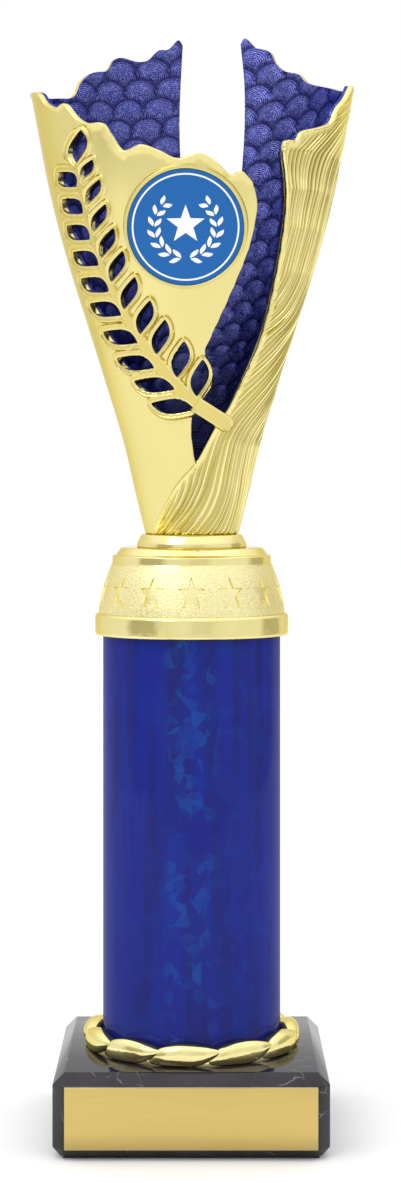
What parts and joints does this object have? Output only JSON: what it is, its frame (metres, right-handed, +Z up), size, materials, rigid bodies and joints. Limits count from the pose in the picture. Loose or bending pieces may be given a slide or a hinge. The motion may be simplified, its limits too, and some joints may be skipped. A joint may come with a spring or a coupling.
{
  "type": "column trophy",
  "caption": "Free-standing award: a split two-tone cup with a pierced laurel on a star cap, a blue foil column, a leaf ring and a black marble base with a blank plate.",
  "frame": {"origin": "centre of the underside of the base, on the table", "axes": "+Z up along the tie rod and the column; the engraved plate and the disc face -Y; +X is to the right seen from the front"},
  "size_m": [0.0732, 0.0727, 0.2524],
  "materials": {
    "marble": "polished black marble with fine white veins",
    "felt": "dense black felt sheet",
    "plate_gold": "satin gold anodised sheet, unengraved",
    "tape": "double-sided adhesive film",
    "steel": "zinc-plated steel",
    "mirror_gold": "vacuum-metallised gold plastic, mirror polished",
    "satin_gold": "vacuum-metallised gold plastic, soft shine",
    "blue_metal": "deep blue metallised plastic with embossed scales",
    "blue_foil": "glossy blue cracked-ice foil",
    "plug_plastic": "black moulded plastic",
    "tube_plastic": "white extruded plastic tube",
    "printed_blue": "gloss printed insert"
  },
  "bodies": {
    "root": {"marble_base": "marble", "base_felt": "felt", "engraving_plate": "plate_gold", "plate_tape": "tape", "tie_rod": "steel", "base_nut": "steel", "base_spring_washer": "steel", "base_washer": "steel", "rope_ring": "mirror_gold", "lower_plug": "plug_plastic", "column_tube": "tube_plastic", "column_wrap": "blue_foil", "upper_plug": "plug_plastic", "star_cap": "mirror_gold", "cup_foot": "mirror_gold", "smooth_shell": "satin_gold", "wave_shell": "satin_gold", "cup_liner": "blue_metal", "cup_washer": "steel", "cup_nut": "steel", "disc_holder": "satin_gold", "disc_tape": "tape", "centre_disc": "printed_blue"}
  },
  "joints": []
}
